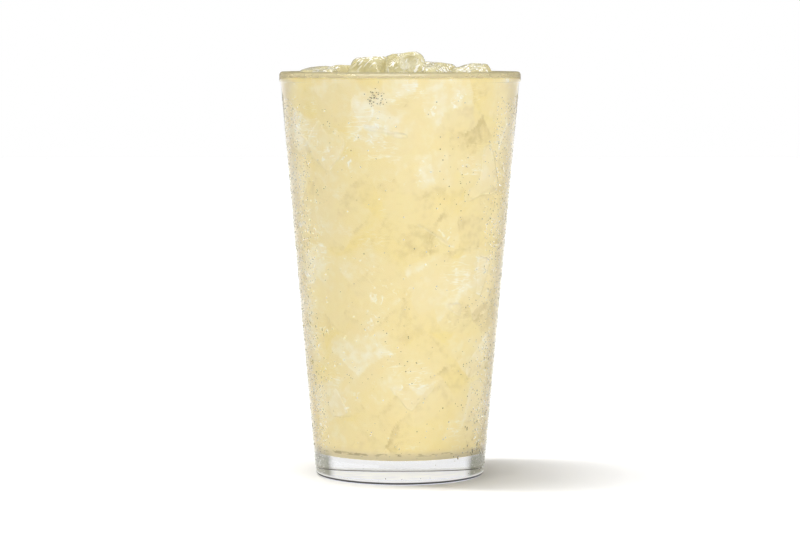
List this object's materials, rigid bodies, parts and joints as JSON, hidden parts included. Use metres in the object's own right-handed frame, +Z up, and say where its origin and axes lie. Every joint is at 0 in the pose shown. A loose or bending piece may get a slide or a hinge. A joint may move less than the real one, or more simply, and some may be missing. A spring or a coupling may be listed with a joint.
{
  "type": "glass of lemonade",
  "caption": "Tapered pint tumbler filled to the brim with cloudy lemonade, with half-melted ice cubes heaped at its mouth.",
  "frame": {"origin": "centre of the resting face under the foot", "axes": "+Z up along the glass's axis, -Y the side that faces the viewer, +X to the viewer's right"},
  "size_m": [0.0888, 0.0888, 0.1562],
  "materials": {
    "glass": "clear polished soda-lime glass with fine condensation",
    "lemonade": "cloudy pale yellow drink",
    "ice": "wet half-melted ice with fine trapped bubbles"
  },
  "bodies": {
    "root": {"glass": "glass", "lemonade": "lemonade", "ice_1": "ice", "ice_2": "ice", "ice_3": "ice", "ice_4": "ice", "ice_5": "ice", "ice_6": "ice", "ice_7": "ice", "ice_8": "ice", "ice_9": "ice", "ice_10": "ice", "ice_11": "ice", "ice_12": "ice", "ice_13": "ice"}
  },
  "joints": []
}
